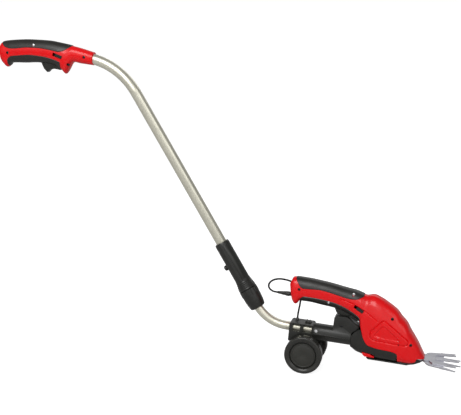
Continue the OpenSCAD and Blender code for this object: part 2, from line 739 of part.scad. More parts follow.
module shears_trigger() {
    color("dimgray") on_wheels() difference() {
        side_plate(-shears_trigger_half, shears_trigger_half) polygon(shears_trigger_outline);
        cross_rod(shears_pivot[0], shears_pivot[1], 2 + running, -10, 10);
        for (s = [-1, 1]) box(40, 50, min(s * 3, s * 12), max(s * 3, s * 12), 140, 144);
    }
}
module shears_trigger_pin() {
    color("silver") on_wheels() cross_rod(shears_pivot[0], shears_pivot[1], 2, -13, 13);
}
module shears_trigger_spring() {
    color("silver") on_wheels() translate([66, 0, 142.6]) coil(2.4, 0.7, 5, 8.4);
}
module shears_switch() { color("black") on_wheels() box(41.2, 60, -3.5, 3.5, 148.8, 152.2); }
module shears_lock_slider() {
    color("dimgray") on_wheels() translate([shears_slider_at[0], 0, shears_slider_at[1]])
        rotate([0, shears_slider_turn, 0]) thumb_slider(23.2);
}
module charge_socket() {
    color("black") on_wheels() difference() {
        long_rod(socket_z, 4, -44, -28);
        long_rod(socket_z, 2.7 + running, -45, -34);
    }
}
cell_r = 9.1;
cell_l = 65;
module battery_cells() {
    color("green") on_wheels() {
        long_rod(164, cell_r, -13, -13 + cell_l);
        translate([55, 0, 163]) rotate([0, 90 + 12, 0]) cylinder(h = cell_l, r = cell_r);
    }
}
module circuit_board() { color("darkgreen") on_wheels() box(-14, 30, -8, 8, 175.2, 176.8); }

// ---- drive (wheel frame) --------------------------------------------------------------------

motor_x = 158;
gear_distance = gear_m * (pinion_teeth + gear_teeth) / 2;
gear_x = motor_x + gear_distance;
pivot_x = 222;
plate_z = [86, 90];
motor_top = 130;
gear_z = [78, 84];

// A spur gear's outline, with a tooth centred on the +X axis when phase is 0
module gear_outline(teeth, phase) {
    r = gear_m * teeth / 2;
    pitch = 360 / teeth;
    tip = r + 0.75 * gear_m;
    root = r - 1.1 * gear_m;
    polygon([
        for (i = [0 : teeth - 1]) let (a = i * pitch + phase)
            each [root * heading(a - 0.34 * pitch), tip * heading(a - 0.11 * pitch),
                  tip * heading(a + 0.11 * pitch), root * heading(a + 0.34 * pitch)]
    ]);
}
module motor_can() {
    color("silver") on_wheels() translate([motor_x, 0, 0]) difference() {
        translate([0, 0, plate_z[1]]) cylinder(h = motor_top - plate_z[1], r = 14);
        translate([0, 0, plate_z[1] + 1.2]) cylinder(h = motor_top - plate_z[1] - 2.4, r = 12.8);
        translate([0, 0, 80]) cylinder(h = 30, r = 2.5);
    }
}
module motor_rotor() {
    color("gray") on_wheels() translate([motor_x, 0, 0]) {
        translate([0, 0, 76]) cylinder(h = 52, r = 1.5);
        translate([0, 0, 96]) cylinder(h = 28, r = 11.5);
        translate([0, 0, 77]) linear_extrude(8) gear_outline(pinion_teeth, 180 / pinion_teeth);
    }
}
module drive_gear() {
    color("ivory") on_wheels() translate([gear_x, 0, 0]) {
        difference() {
            translate([0, 0, gear_z[0]]) linear_extrude(gear_z[1] - gear_z[0])
                gear_outline(gear_teeth, 0);
            translate([0, 0, 70]) cylinder(h = 20, r = 3 + running);
        }
        translate([throw, 0, 57.2]) cylinder(h = gear_z[0] - 57.2, r = 1.8);
    }
}
module gear_axle() {
    color("silver") on_wheels() translate([gear_x, 0, 0]) {
        translate([0, 0, 78]) cylinder(h = plate_z[1] - 78, r = 3);
        translate([0, 0, plate_z[1]]) cylinder(h = 1.6, r = 5.5);
    }
}
module gearbox_plate() {
    color("black") on_wheels() difference() {
        box(142, 203, -20, 20, plate_z[0], plate_z[1]);
        translate([motor_x, 0, 80]) cylinder(h = 20, r = 6);
        translate([gear_x, 0, 80]) cylinder(h = 20, r = 3 + snug);
    }
}

// ---- base, sole and blades (wheel frame) -------------------------------------------------------

base_top = [[88.6, 100], [92, 103], [103, 114], [112, 169], [184, 137]];
base_low = [[88.6, 59], [92, 57.5], [100, 53], [112, 50], [122, 46.7], [130, 46.5], [184, 46.5]];
base_half = [[88.6, 16.5], [96, 19.5], [103, 22], [112, 25.4], [130, 29], [150, 31], [184, 31]];
base_form = [
    base_top, base_low, base_half, [[88.6, 2.6], [184, 2.6]], [[88.6, 3], [112, 4], [184, 4.5]]
];
base_edge = [
    [88.6, 85], [92, 90], [100, 98.5], [104, 102], [106, 102], [109, 95], [112, 89], [116, 81.5],
    [120, 76.5], [125, 73.2], [146, 70.4], [169, 69.4], [182, 66]
];
tab_outline = [[114, 57], [127, 56], [139, 51.6], [139, 49.4], [120, 49.4], [115.5, 53]];
module shears_base() {
    color("dimgray") on_wheels() difference() {
        layer(base_form, [88.6, 92, 96, 100, 104, 106.5, 109, 112, 116, 120, 125, 132, 142, 155,
              170, 182], base_edge, false, 0, wall, wall);
        for (s = [-1, 1]) box(113.4, 139.6, min(s * 10, s * 40), max(s * 10, s * 40), 49, 57.5);
        box(178, 184, -24, 24, 50, 80);
    }
}
module release_tab(side) {
    on_wheels() side_plate(min(side * 13, side * 25), max(side * 13, side * 25))
        polygon(tab_outline);
}
module release_right() { color("crimson") release_tab(-1); }
module release_left() { color("crimson") release_tab(1); }

// A closed outline from its +y half, which runs forward
function both_sides(half) = concat([for (p = half) [p[0], -p[1]]], backwards(half));
sole_outline = [
    [123, 46.2], [126, 44], [206, 44], [217, 46.5], [229, 52], [234, 55.3], [212, 55.3],
    [205, 48], [185.2, 48], [185.2, 46.2]
];
sole_half = [[123, 19], [128, 22.5], [204, 22.5], [207, 19], [228, 17], [234, 13]];
module sole_plate() {
    color("dimgray") on_wheels() intersection() {
        side_plate(-30, 30) polygon(sole_outline);
        translate([0, 0, 40]) linear_extrude(20) polygon(both_sides(sole_half));
    }
}

moving_z = blade_top - blade_t;
fixed_z = moving_z - 0.1 - blade_t;
// One pointed tooth. k counts tooth spacings from the middle line
module tooth(k, root_x, tip_x, root_half) {
    tip_half = 1.4;
    polygon([
        [root_x - 6, k * root_pitch - root_half], [root_x, k * root_pitch - root_half],
        [tip_x - 2, k * tip_pitch - tip_half], [tip_x, k * tip_pitch],
        [tip_x - 2, k * tip_pitch + tip_half], [root_x, k * root_pitch + root_half],
        [root_x - 6, k * root_pitch + root_half]
    ]);
}
module fixed_blade() {
    color("silver") on_wheels() translate([0, 0, fixed_z]) linear_extrude(blade_t) difference() {
        union() {
            polygon(both_sides([
                [200, 13], [231, 14], [237, 21], [241, 33], [247, 38], [262, 41.5], [273, 45],
                [274, 40]
            ]));
            for (k = [-1.5, -0.5, 0.5, 1.5]) tooth(k, 274, abs(k) > 1 ? 297 : 307, 4.8);
        }
        translate([pivot_x, 0]) circle(4 + snug);
    }
}
module moving_blade() {
    color("silver") on_wheels() translate([0, 0, moving_z]) linear_extrude(blade_t) difference() {
        union() {
            translate([gear_x, 0]) circle(13);
            translate([gear_x, -7]) square([pivot_x - gear_x, 14]);
            polygon(both_sides([
                [210, 7], [221, 13], [231, 14.5], [236, 18.5], [245, 17], [251, 27], [257, 32],
                [258, 26]
            ]));
            for (k = [-1, 0, 1]) tooth(k, 258, k == 0 ? 304 : 298, 5);
        }
        translate([gear_x, 0]) circle(9.6);
        translate([pivot_x, 0]) circle(4 + running);
    }
}
module blade_pivot() {
    color("silver") on_wheels() translate([pivot_x, 0, 0]) {
        translate([0, 0, fixed_z]) cylinder(h = blade_top + 0.1 - fixed_z, r = 4);
        translate([0, 0, blade_top + 0.1]) cylinder(h = 1.6, r = 6.5);
    }
}
module shears_screws() {
    color("silver") on_wheels() for (p = shears_screws) side_screw(shears_form, p);
}

pole_handle_right();
pole_handle_left();
pole_top_grip();
pole_lower_grip();
pole_trigger();
pole_trigger_pin();
pole_trigger_spring();
pole_switch();
pole_lock_slider();
pole_handle_screws();
upper_tube();
clamp_sleeve();
sleeve_screw();
clamp_nut();
clamp_collet();
lower_tube();
tube_guide_bush();
adapter_right();
adapter_left();
adapter_screws();
latch_slider();
wheel_bracket();
wheel_axle();
axle_clips();
wheel_right_rim();
wheel_right_tyre();
wheel_right_cap();
wheel_left_rim();
wheel_left_tyre();
wheel_left_cap();
lead_gland();
lead();
lead_plug();
shears_right();
shears_left();
shears_top_grip();
shears_lower_grip();
shears_trigger();
shears_trigger_pin();
shears_trigger_spring();
shears_switch();
shears_lock_slider();
charge_socket();
battery_cells();
circuit_board();
motor_can();
motor_rotor();
drive_gear();
gear_axle();
gearbox_plate();
shears_base();
release_right();
release_left();
sole_plate();
fixed_blade();
moving_blade();
blade_pivot();
shears_screws();
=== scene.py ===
import json
import math

import bmesh
import bpy
import numpy as np
from mathutils import Matrix, Vector


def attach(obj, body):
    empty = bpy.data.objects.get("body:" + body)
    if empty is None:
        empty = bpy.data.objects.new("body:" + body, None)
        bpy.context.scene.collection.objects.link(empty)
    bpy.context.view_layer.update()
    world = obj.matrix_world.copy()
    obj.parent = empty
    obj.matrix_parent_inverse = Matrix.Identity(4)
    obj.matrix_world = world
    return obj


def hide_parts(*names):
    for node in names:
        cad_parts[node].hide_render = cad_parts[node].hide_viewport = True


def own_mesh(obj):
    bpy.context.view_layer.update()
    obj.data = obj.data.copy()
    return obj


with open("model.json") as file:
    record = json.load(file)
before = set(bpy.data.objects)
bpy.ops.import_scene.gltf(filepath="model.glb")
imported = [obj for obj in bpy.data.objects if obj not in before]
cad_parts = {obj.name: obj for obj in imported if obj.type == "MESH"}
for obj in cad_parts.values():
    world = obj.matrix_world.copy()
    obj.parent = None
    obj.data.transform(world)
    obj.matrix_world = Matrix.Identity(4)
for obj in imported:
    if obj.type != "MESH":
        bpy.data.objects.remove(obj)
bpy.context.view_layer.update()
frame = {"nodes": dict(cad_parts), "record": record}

MM = 0.001
AXLE = Vector((0.625, 0.0, -0.585))      # the wheel frame's origin, on the ground under the axle
CREASE = 32.0                            # degrees; an edge sharper than this is shaded as sharp


def wheel(x, y, z):
    """A point in the wheel frame, in millimetres, as a point in the row frame in metres."""
    return AXLE + Vector((x, y, z)) * MM


# ---- camera --------------------------------------------------------------------------------------

cam = bpy.data.objects.new("camera", bpy.data.cameras.new("camera"))
bpy.context.scene.collection.objects.link(cam)
bpy.context.scene.camera = cam
cam.data.sensor_width = 36.0
cam.data.lens = 71.92
CAMERA_AT = Vector((0.85165, -1.78527, 0.10077))
CAMERA_RIGHT = Vector((0.96787, 0.23853, 0.07957))
CAMERA_UP = Vector((-0.12389, 0.17698, 0.97638))
axes = (CAMERA_RIGHT, CAMERA_UP, CAMERA_RIGHT.cross(CAMERA_UP).normalized(), CAMERA_AT)
cam.matrix_world = Matrix((*zip(*axes), (0, 0, 0, 1)))

# ---- curves and forms, as in the CAD source ------------------------------------------------------


def curve(keys, x):
    """The value at x of a monotone cubic through the key points [x, value]."""
    n = len(keys)
    rises = [(keys[i + 1][1] - keys[i][1]) / (keys[i + 1][0] - keys[i][0]) for i in range(n - 1)]

    def tangent(i):
        if i == 0:
            return rises[0]
        if i == n - 1:
            return rises[-1]
        a, b = rises[i - 1], rises[i]
        return 0 if a * b <= 0 else 2 * a * b / (a + b)

    i = 0
    while i < n - 2 and x >= keys[i + 1][0]:
        i += 1
    w = keys[i + 1][0] - keys[i][0]
    t = min(1, max(0, (x - keys[i][0]) / w))
    return (
        (2 * t ** 3 - 3 * t ** 2 + 1) * keys[i][1] + (t ** 3 - 2 * t ** 2 + t) * tangent(i) * w
        + (3 * t ** 2 - 2 * t ** 3) * keys[i + 1][1] + (t ** 3 - t ** 2) * tangent(i + 1) * w
    )


def sampled(keys, soft):
    """The key points as a dense curve (x, value), smoothed over about `soft` millimetres."""
    step = 0.25
    x = np.arange(keys[0][0], keys[-1][0] + step / 2, step)
    y = np.array([curve(keys, v) for v in x])
    n = int(3 * soft / step)
    if n:
        ends = np.concatenate([2 * y[0] - y[n:0:-1], y, 2 * y[-1] - y[-2:-n - 2:-1]])
        weight = np.exp(-0.5 * (np.arange(-n, n + 1) * step / soft) ** 2)
        y = np.convolve(ends, weight / weight.sum(), "valid")
    return x, y


def value(dense, x):
    """The value at x of a curve made by sampled()."""
    return float(np.interp(x, *dense))


def form_of(top, low, half, upper, lower):
    """A form along x from its key curves: top and bottom height, half width, and the exponent of
    the superellipse above and below the middle."""
    return {"top": sampled(top, 1.6), "low": sampled(low, 1.2), "half": sampled(half, 4.0),
            "upper": sampled(upper, 4.0), "lower": sampled(lower, 4.0)}


LEAST_HALF = 0.6      # mm, so that an inset section never closes up


def on_form(form, x, a, inset=0.0):
    """Points (y, z) of the section at x for an array of angles, 0 at the top, 180 at the bottom."""
    top, low = value(form["top"], x), value(form["low"], x)
    a = np.radians(np.asarray(a, float))
    n = np.where(np.cos(a) > 0, value(form["upper"], x), value(form["lower"], x))
    half_w = max(LEAST_HALF, value(form["half"], x) - inset)
    half_h = max(LEAST_HALF, (top - low) / 2 - inset)
    sin, cos = np.sin(a), np.cos(a)
    y = half_w * np.sign(sin) * np.abs(sin) ** (2 / n)
    z = (top + low) / 2 + half_h * np.sign(cos) * np.abs(cos) ** (2 / n)
    return y, z


def angle_at(form, x, z):
    """The angle at which the section at x reaches height z."""
    top, low = value(form["top"], x), value(form["low"], x)
    q = max(-1.0, min(1.0, (2 * z - top - low) / (top - low)))
    n = value(form["upper" if q > 0 else "lower"], x)
    return math.degrees(math.acos(math.copysign(abs(q) ** (n / 2), q)))


# ---- materials -----------------------------------------------------------------------------------


def material(name, colour, rough, metal=0.0, grain=0.0, grain_size=900.0, mottle=0.0, coat=0.0,
             wear=0.0, stretch=(1, 1, 1), gloss=0.5):
    """A procedural material. grain is the bump's strength and grain_size its density, mottle
    varies the roughness, wear the tint, and stretch scales the noise along each axis."""
    m = bpy.data.materials.new(name)
    m.use_nodes = True
    tree = m.node_tree
    shader = tree.nodes["Principled BSDF"]
    shader.inputs["Base Color"].default_value = (*colour, 1)
    shader.inputs["Roughness"].default_value = rough
    shader.inputs["Metallic"].default_value = metal
    shader.inputs["Specular IOR Level"].default_value = gloss
    shader.inputs["Coat Weight"].default_value = coat
    shader.inputs["Coat Roughness"].default_value = 0.12
    coord = tree.nodes.new("ShaderNodeTexCoord")
    mapping = tree.nodes.new("ShaderNodeMapping")
    mapping.inputs["Scale"].default_value = stretch
    tree.links.new(coord.outputs["Object"], mapping.inputs["Vector"])

    def noise(density, detail=3.0):
        texture = tree.nodes.new("ShaderNodeTexNoise")
        texture.inputs["Scale"].default_value = density
        texture.inputs["Detail"].default_value = detail
        tree.links.new(mapping.outputs["Vector"], texture.inputs["Vector"])
        return texture.outputs["Fac"]

    def ranged(factor, low, high):
        spread = tree.nodes.new("ShaderNodeMapRange")
        spread.inputs["To Min"].default_value = low
        spread.inputs["To Max"].default_value = high
        spread.inputs["From Min"].default_value = 0.3
        spread.inputs["From Max"].default_value = 0.7
        tree.links.new(factor, spread.inputs["Value"])
        return spread.outputs["Result"]

    if mottle:
        tree.links.new(ranged(noise(60.0), max(0.02, rough - mottle), rough + mottle),
                       shader.inputs["Roughness"])
    if wear:
        mix = tree.nodes.new("ShaderNodeMix")
        mix.data_type = "RGBA"
        mix.inputs["A"].default_value = (*[c * (1 - wear) for c in colour], 1)
        mix.inputs["B"].default_value = (*[min(1, c * (1 + wear)) for c in colour], 1)
        tree.links.new(ranged(noise(35.0, 5.0), 0, 1), mix.inputs["Factor"])
        tree.links.new(mix.outputs["Result"], shader.inputs["Base Color"])
    if grain:
        bump = tree.nodes.new("ShaderNodeBump")
        bump.inputs["Strength"].default_value = grain
        bump.inputs["Distance"].default_value = 0.0002
        tree.links.new(noise(grain_size, 2.0), bump.inputs["Height"])
        tree.links.new(bump.outputs["Normal"], shader.inputs["Normal"])
    return m


RED = material("red_gloss", (0.70, 0.003, 0.005), 0.24, grain=0.02, grain_size=1400, mottle=0.04,
               coat=0.15, wear=0.03, gloss=0.28)
GRIP = material("soft_grip", (0.017, 0.016, 0.014), 0.4, grain=0.35, grain_size=1500, mottle=0.06,
                wear=0.15, gloss=0.45)
BLACK = material("black_plastic", (0.016, 0.016, 0.014), 0.34, grain=0.12, grain_size=1300,
                 mottle=0.06, wear=0.12, gloss=0.4)
CHARCOAL = material("charcoal_plastic", (0.026, 0.026, 0.022), 0.42, grain=0.15, grain_size=1100,
                    mottle=0.06, wear=0.12, gloss=0.35)
TYRE = material("tyre_plastic", (0.024, 0.024, 0.021), 0.22, grain=0.08, grain_size=900,
                mottle=0.06, wear=0.1, gloss=0.4)
TUBE = material("champagne_tube", (0.70, 0.68, 0.57), 0.33, metal=0.8, grain=0.05,
                grain_size=1600, mottle=0.04, wear=0.03)
STEEL = material("zinc_steel", (0.72, 0.72, 0.73), 0.28, metal=1.0, grain=0.1, grain_size=1500,
                 mottle=0.08, wear=0.08)
DARK_STEEL = material("black_oxide_steel", (0.03, 0.03, 0.032), 0.35, metal=0.6, grain=0.1,
                      mottle=0.08, wear=0.1, gloss=0.3)
BLADE = material("blade_steel", (0.54, 0.54, 0.58), 0.34, metal=1.0, grain=0.1, grain_size=420,
                 mottle=0.08, wear=0.06, stretch=(0.15, 3, 3))
CELL = material("cell_wrap", (0.03, 0.2, 0.09), 0.3, mottle=0.05, wear=0.1)
BOARD = material("board", (0.01, 0.09, 0.03), 0.4, grain=0.1, mottle=0.05, wear=0.2)
GEAR = material("gear_plastic", (0.78, 0.74, 0.6), 0.42, grain=0.08, mottle=0.05, wear=0.05)
LEAD = material("lead_jacket", (0.010, 0.010, 0.011), 0.5, grain=0.15, grain_size=1200,
                mottle=0.06, wear=0.1, gloss=0.2)

LOOKS = {
    "red_shell": RED, "soft_grip": GRIP, "black_plastic": BLACK, "grey_plastic": CHARCOAL,
    "champagne_tube": TUBE, "tyre_plastic": TYRE, "steel": STEEL, "blade_steel": BLADE,
    "dark_steel": DARK_STEEL, "motor_steel": STEEL, "cell_wrap": CELL, "board": BOARD,
    "gear_plastic": GEAR, "lead_jacket": LEAD,
}
SLOT = {p["node"]: p["material_slot"] for p in frame["record"]["subparts"]}
BODY = {n: b for b, ns in frame["record"]["behaviour"]["bodies"].items() for n in ns}

# ---- meshes --------------------------------------------------------------------------------------


def linked(name, mesh):
    """A new object in the scene."""
    o = bpy.data.objects.new(name, mesh)
    bpy.context.scene.collection.objects.link(o)
    return o


def soften(mesh):
    """Outward normals and smooth shading, with the sharp edges kept crisp."""
    bm = bmesh.new()
    bm.from_mesh(mesh)
    bmesh.ops.recalc_face_normals(bm, faces=bm.faces)
    for f in bm.faces:
        f.smooth = True
    limit = math.radians(CREASE)
    for e in bm.edges:
        e.smooth = len(e.link_faces) == 2 and e.calc_face_angle(0) < limit
    bm.to_mesh(mesh)
    bm.free()


def mesh_of(name, points, faces):
    """A mesh of points in millimetres."""
    m = bpy.data.meshes.new(name)
    m.from_pydata([Vector(p) * MM for p in points], [], faces)
    soften(m)
    return m


def grid_faces(rows, cols, first=0, flip=False):
    """The quads of a grid of points whose first index is `first`."""
    out = []
    for i in range(rows - 1):
        for j in range(cols - 1):
            a = first + i * cols + j
            q = (a, a + 1, a + cols + 1, a + cols)
            out.append(q[::-1] if flip else q)
    return out


def closed_skin(name, outer, inner):
    """A closed wall between two grids of points of the same size."""
    rows, cols = len(outer), len(outer[0])
    half = rows * cols
    faces = grid_faces(rows, cols) + grid_faces(rows, cols, half, True)
    for i in range(rows - 1):
        for j in (0, cols - 1):
            a, b = i * cols + j, (i + 1) * cols + j
            faces.append((a, b, half + b, half + a))
    for j in range(cols - 1):
        for i in (0, rows - 1):
            a, b = i * cols + j, i * cols + j + 1
            faces.append((a, b, half + b, half + a))
    points = [p for row in outer for p in row] + [p for row in inner for p in row]
    return mesh_of(name, points, faces)


def carved(name, mesh, cutters):
    """The mesh with the cutters taken away; the cutters are deleted."""
    if not cutters:
        return mesh
    obj = linked(name, mesh)
    bm = bmesh.new()
    for c in cutters:
        tmp = c.data.copy()
        tmp.transform(c.matrix_world)
        bm.from_mesh(tmp)
    bmesh.ops.recalc_face_normals(bm, faces=bm.faces)
    joined = bpy.data.meshes.new("cutter")
    bm.to_mesh(joined)
    bm.free()
    tool = linked("cutter", joined)
    mod = obj.modifiers.new("cut", "BOOLEAN")
    mod.object, mod.operation, mod.solver = tool, "DIFFERENCE", "MANIFOLD"
    bpy.context.view_layer.update()
    depsgraph = bpy.context.evaluated_depsgraph_get()
    done = bpy.data.meshes.new_from_object(obj.evaluated_get(depsgraph))
    done.materials.clear()
    soften(done)
    for o in (*cutters, tool, obj):
        bpy.data.objects.remove(o)
    return done


def prism(points, y0, y1):
    """A cutter or plate: a side-view outline extruded along y, in millimetres."""
    n = len(points)
    pts = [(x, y0, z) for x, z in points] + [(x, y1, z) for x, z in points]
    faces = [tuple(range(n)), tuple(range(2 * n - 1, n - 1, -1))]
    faces += [(i, i + n, (i + 1) % n + n, (i + 1) % n) for i in range(n)]
    return linked("prism", mesh_of("prism", pts, faces))


def box_cutter(x0, x1, y0, y1, z0, z1):
    return prism([(x0, z0), (x1, z0), (x1, z1), (x0, z1)], y0, y1)


def round_prism(x, z, r, y0, y1, sides=32):
    """A round cutter along y."""
    return prism([(x + r * math.cos(t), z + r * math.sin(t))
                  for t in (2 * math.pi * i / sides for i in range(sides))], y0, y1)


def slot_prism(x, z, turn, length, width, y0, y1):
    """A slanted slot; turn is the CAD's turn about +Y."""
    c, s = math.cos(math.radians(turn)), math.sin(math.radians(turn))
    corner = [(-length / 2, -width / 2), (length / 2, -width / 2),
              (length / 2, width / 2), (-length / 2, width / 2)]
    return prism([(x + u * c + v * s, z - u * s + v * c) for u, v in corner], y0, y1)


def lathe(name, profile, sides=48):
    """A closed solid of revolution about +Z from [radius, height] points that start and end on
    the axis, in millimetres."""
    pts, faces, n = [], [], len(profile)
    for i in range(sides):
        t = 2 * math.pi * i / sides
        pts += [(r * math.cos(t), r * math.sin(t), z) for r, z in profile]
    for i in range(sides):
        a, b = i * n, (i + 1) % sides * n
        faces += [(a + j, a + j + 1, b + j + 1, b + j) for j in range(n - 1)]
    bm = bmesh.new()
    bm.from_mesh(mesh_of(name, pts, faces))
    bmesh.ops.remove_doubles(bm, verts=bm.verts, dist=1e-7)
    bmesh.ops.dissolve_degenerate(bm, edges=bm.edges, dist=1e-7)
    out = bpy.data.meshes.new(name)
    bm.to_mesh(out)
    bm.free()
    soften(out)
    return out


def place(name, mesh, look, node, offset=None):
    """A finished piece that stands for a CAD node and rides on its body."""
    o = linked(name, mesh)
    if offset:
        o.data.transform(Matrix.Translation(offset))
    for m in look if isinstance(look, list) else [look]:
        o.data.materials.append(m)
    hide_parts(node)
    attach(o, BODY[node])
    return o


def spaced(stops):
    """Numbers from stops [(start, step), ..., (end, None)]."""
    out = []
    for (a, step), (b, _) in zip(stops, stops[1:]):
        n = max(1, round((b - a) / step))
        out += [a + (b - a) * i / n for i in range(n)]
    return out + [stops[-1][0]]


def arc(form, x, a0, a1, n, inset=0.0):
    """n points of a section between two angles, evenly spaced along it, with their distances
    along it and its length. Angles up to 180 lie on the left side (+y), others on the right."""
    y, z = on_form(form, x, np.linspace(a0, a1, 241), inset)
    run = np.concatenate([[0], np.cumsum(np.hypot(np.diff(y), np.diff(z)))])
    t = np.linspace(0, run[-1], n)
    points = np.stack([np.full(n, float(x)), np.interp(t, run, y), np.interp(t, run, z)], axis=1)
    return points, t, run[-1]


# ---- lead ----------------------------------------------------------------------------------------

LEAD_D = 3.8                   # mm
LEAD_ROUTE = [                 # from the gland's mouth, round the loop, to the plug's back end
    (-25, 8, 98), (-25, 8, 104), (-24.7, 8.6, 110), (-24.3, 10.5, 116), (-24, 13.5, 122),
    (-24, 17.5, 128), (-24.6, 21, 134.5), (-26, 23.8, 141.5), (-28.5, 25, 149),
    (-32.5, 24.8, 156.5), (-38, 23, 163), (-45, 19.5, 168), (-53, 15.5, 171.3),
    (-61, 11.5, 173.3), (-69, 8, 174), (-76.5, 5, 173), (-83, 2.6, 170.2), (-87.6, 1, 165.6),
    (-89.5, 0.2, 160), (-88, 0, 154.6), (-84, 0, 150.8), (-79, 0, 148.6), (-74.5, 0, 148),
    (-70, 0, 148),
]
line = bpy.data.curves.new("lead_flex", "CURVE")
line.dimensions = "3D"
line.bevel_depth = LEAD_D / 2 * MM
line.bevel_resolution = 4
line.resolution_u = 6
line.use_fill_caps = True
spline = line.splines.new("BEZIER")
spline.bezier_points.add(len(LEAD_ROUTE) - 1)
for knot, p in zip(spline.bezier_points, LEAD_ROUTE):
    knot.co = wheel(*p)
    knot.handle_left_type = knot.handle_right_type = "AUTO"
line.materials.append(LEAD)
lead = linked("lead_flex", line)
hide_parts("lead")
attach(lead, "lower_pole")

# The plug: a ribbed strain relief, a body with a grip ring, and the pin inside the socket
RIBS, RIB_PITCH = 6, 2.7
plug_outline = [(0, 0), (2.1, 0.0), (2.3, 0.4)]
for i in range(RIBS):
    z, r = 1.2 + i * RIB_PITCH, 2.5 + i * 0.28
    plug_outline += [(r, z), (r + 0.35, z + 0.3), (r + 0.4, z + 1.4), (r + 0.05, z + 1.7)]
plug_outline += [(4.4, 18.0), (5.0, 18.3), (5.0, 19.6), (4.6, 19.9), (4.6, 21.3), (5.0, 21.6),
                 (5.0, 25.2), (4.7, 25.4), (2.7, 25.4), (2.7, 34.4), (0, 34.4)]
plug_mesh = lathe("plug", plug_outline)
plug_mesh.transform(Matrix.Translation(wheel(*LEAD_ROUTE[-1]))
                    @ Matrix.Rotation(math.pi / 2, 4, "Y"))
plug = place("plug_body", plug_mesh, BLACK, "lead_plug")

# ---- forms (pole handle in the row frame, shears in the wheel frame) -----------------------------

WALL = 2.4      # mm, the housings' wall
POLE = form_of(
    top=[[-76, 5], [-74, 12], [-70, 15], [-45, 20], [-6, 24], [33, 25], [56, 23], [84, 19.5],
         [100, 17], [132, 10.5]],
    low=[[-76, -1], [-74, -18], [-70, -26], [-65, -31], [-58, -36], [-54, -33], [-50, -25.5],
         [-17, -22.5], [16, -19.5], [44, -21.5], [58, -27], [65, -32], [73, -39], [78, -32],
         [86, -16], [92, -13], [103, -14.5], [132, -16]],
    half=[[-76, 11], [-72, 15], [-60, 17], [50, 17.5], [73, 17], [88, 15], [132, 13.6]],
    upper=[[-76, 2.4], [132, 2.2]],
    lower=[[-76, 2.4], [132, 2.2]],
)
POLE_PAD = [[-69, 13.5], [-64, 8], [-57, 4], [-48, 3], [-9, 8], [16, 9], [42, 7], [60, 5],
            [70, 8], [79, 14], [84, 18]]
POLE_STRIP = [[-55, -24], [-52, -16], [-45, -12], [-33, -10], [0, -6], [26, -7], [51, -11],
              [64, -15]]
POLE_PAD, POLE_STRIP = sampled(POLE_PAD, 1.5), sampled(POLE_STRIP, 1.5)
POLE_SCREWS = [(4, 14), (-53, -6), (81, -19), (115, -1)]
POLE_SLOT = (17.3, 65.5, -7.6, 7.6, -45, -5)          # the trigger's opening: x, y and z ranges
SHEARS = form_of(
    top=[[-44, 174], [-42, 182], [-39, 186], [-34, 186.5], [-7, 186], [19, 184], [34, 182.5],
         [71, 177], [90, 174.5], [104, 170.5], [112, 169.3], [119, 171.5], [125, 172.5],
         [139, 168], [157, 158.5], [175, 146.5], [182, 138], [196, 124.5], [203, 113],
         [214, 98], [222, 86.5], [229, 74.5], [233, 68], [235, 64.5]],
    low=[[-44, 166], [-43, 156], [-40, 143], [-37, 135], [-31, 130], [-27, 132],
         [-22, 139.5], [-3, 140], [20, 138], [51, 135], [81, 126.5], [97, 118], [103, 112],
         [106, 88], [110, 60], [116, 49], [130, 46.5], [235, 46.5]],
    half=[[-44, 10], [-42, 14], [-36, 17], [0, 17.5], [60, 18.5], [90, 21], [103, 23],
          [115, 26], [130, 29], [150, 31], [185, 31], [205, 29], [220, 25], [229, 21],
          [235, 16]],
    upper=[[-44, 2.3], [100, 2.4], [150, 2.6], [235, 2.6]],
    lower=[[-44, 2.4], [100, 2.6], [112, 4], [130, 4.5], [235, 4.5]],
)
# The height at which the red shells end and the black underbody begins
SHEARS_CUT = [[-44, 100], [102, 100], [103, 110], [106, 107], [109, 99], [112, 90],
              [116, 82.5], [120, 77.5], [125, 74], [146, 71], [169, 70], [182.8, 66],
              [184.8, 49], [205, 48.6], [218.5, 54], [221.5, 60.4], [235, 60.7]]
SHEARS_PAD = [[-33, 184], [-30, 180], [-24, 172], [-17, 167.5], [0, 168.5], [16, 169.5],
              [39, 167], [55, 164], [78, 160.5], [90, 161], [99, 164.5], [107, 168.5]]
SHEARS_STRIP = [[-24, 142], [-20, 147], [-14, 151.5], [8, 152], [40, 149.5], [60, 145.5],
                [80, 138], [100, 127], [102, 125]]
SHEARS_PAD, SHEARS_STRIP = sampled(SHEARS_PAD, 1.5), sampled(SHEARS_STRIP, 1.5)
SHEARS_CUT = sampled(SHEARS_CUT, 0.35)
SHEARS_SCREWS = [(-24, 165), (85, 170), (37, 146.5), (166, 135), (207, 88)]
SHEARS_SLOT = (48.6, 102.6, -8.6, 8.6, 100, 141)
BASE = form_of(
    top=[[88.6, 100], [92, 103], [103, 114], [112, 169], [184, 137]],
    low=[[88.6, 59], [92, 57.5], [100, 53], [112, 50], [122, 46.7], [130, 46.5], [184, 46.5]],
    half=[[88.6, 16.5], [96, 19.5], [103, 22], [112, 25.4], [130, 29], [150, 31], [184, 31]],
    upper=[[88.6, 2.6], [184, 2.6]],
    lower=[[88.6, 3], [112, 4], [184, 4.5]],
)
BASE_EDGE = [[88.6, 85], [92, 90], [100, 98.5], [104, 102], [106, 102], [109, 95], [112, 89],
             [116, 81.5], [120, 76.5], [125, 73.2], [146, 70.4], [169, 69.4], [182, 66]]
BASE_EDGE = sampled(BASE_EDGE, 0.35)


